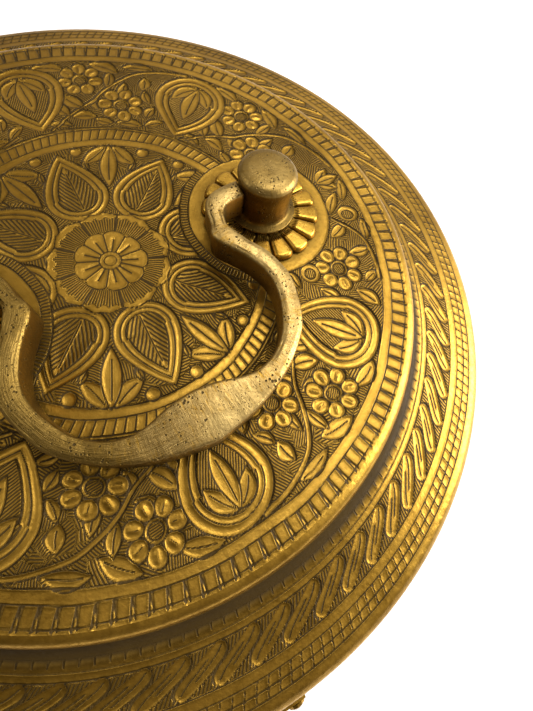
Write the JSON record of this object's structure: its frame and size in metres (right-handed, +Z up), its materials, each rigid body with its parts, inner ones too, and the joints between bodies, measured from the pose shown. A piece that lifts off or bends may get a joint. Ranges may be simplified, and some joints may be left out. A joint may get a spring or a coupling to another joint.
{
  "type": "spice box",
  "caption": "Round brass spice box (masala dabba) with an engraved hinged lid, a bail handle between posts, a hasp, and loose cups with a small spoon inside",
  "frame": {"origin": "centre of the bounding box, on the plane the foot ring stands on", "axes": "+Z up, hinge towards +Y, hasp towards -Y; millimetre work is done about the box's round axis, 5.06 mm behind the origin"},
  "size_m": [0.23, 0.2526, 0.095],
  "materials": {
    "lid_brass": "hand-engraved sheet, bright on the raised parts, dark patina in the grooves",
    "body_brass": "spun sheet, softly polished, light patina",
    "cast_brass": "cast and filed, small pits, polished on top",
    "rosette_brass": "stamped petals with dark grooves",
    "fitting_brass": "cut sheet and drawn rod, dull, worn edges",
    "cup_brass": "spun sheet, bright inside"
  },
  "bodies": {
    "base": {"box_body": "body_brass", "foot_ring": "body_brass", "hinge_leaf_body": "fitting_brass", "hinge_pin": "fitting_brass", "rivet_body_left": "fitting_brass", "rivet_body_right": "fitting_brass", "staple": "fitting_brass", "staple_plate": "fitting_brass"},
    "lid": {"lid_shell": "lid_brass", "hinge_leaf_lid": "fitting_brass", "rivet_lid_left": "fitting_brass", "rivet_lid_right": "fitting_brass", "post_left": "cast_brass", "post_right": "cast_brass", "rosette_left": "rosette_brass", "rosette_right": "rosette_brass", "post_washer_left": "fitting_brass", "post_washer_right": "fitting_brass", "hasp_bracket": "fitting_brass", "hasp_pin": "fitting_brass", "rivet_hasp_left": "fitting_brass", "rivet_hasp_right": "fitting_brass"},
    "bail": {"bail_handle": "cast_brass"},
    "hasp": {"hasp_strap": "fitting_brass"},
    "cup_center_body": {"cup_center": "cup_brass"},
    "cup_1_body": {"cup_1": "cup_brass"},
    "cup_2_body": {"cup_2": "cup_brass"},
    "cup_3_body": {"cup_3": "cup_brass"},
    "cup_4_body": {"cup_4": "cup_brass"},
    "cup_5_body": {"cup_5": "cup_brass"},
    "cup_6_body": {"cup_6": "cup_brass"},
    "spoon_body": {"spoon": "cup_brass"}
  },
  "joints": [
    {"name": "lid_hinge", "type": "hinge", "parent": "base", "child": "lid", "pos_m": [0, 0.12306, 0.052], "axis": [-1, 0, 0], "range_deg": [0, 110]},
    {"name": "bail_pivot", "type": "hinge", "parent": "lid", "child": "bail", "pos_m": [0.0022, 0.00256, 0.08675], "axis": [-0.9945, -0.1045, 0], "range_deg": [0, 188.8]},
    {"name": "hasp_pivot", "type": "hinge", "parent": "lid", "child": "hasp", "pos_m": [0, -0.11294, 0.052], "axis": [-1, 0, 0], "range_deg": [-35, 80]},
    {"name": "cup_center_lift", "type": "slide", "parent": "base", "child": "cup_center_body", "axis": [0, 0, 1], "range_m": [0, 0.018]},
    {"name": "cup_1_lift", "type": "slide", "parent": "base", "child": "cup_1_body", "axis": [0, 0, 1], "range_m": [0, 0.02]},
    {"name": "cup_2_lift", "type": "slide", "parent": "base", "child": "cup_2_body", "axis": [0, 0, 1], "range_m": [0, 0.02]},
    {"name": "cup_3_lift", "type": "slide", "parent": "base", "child": "cup_3_body", "axis": [0, 0, 1], "range_m": [0, 0.02]},
    {"name": "cup_4_lift", "type": "slide", "parent": "base", "child": "cup_4_body", "axis": [0, 0, 1], "range_m": [0, 0.02]},
    {"name": "cup_5_lift", "type": "slide", "parent": "base", "child": "cup_5_body", "axis": [0, 0, 1], "range_m": [0, 0.02]},
    {"name": "cup_6_lift", "type": "slide", "parent": "base", "child": "cup_6_body", "axis": [0, 0, 1], "range_m": [0, 0.02]},
    {"name": "spoon_lift", "type": "slide", "parent": "cup_center_body", "child": "spoon_body", "axis": [0, 0, 1], "range_m": [0, 0.01]}
  ]
}
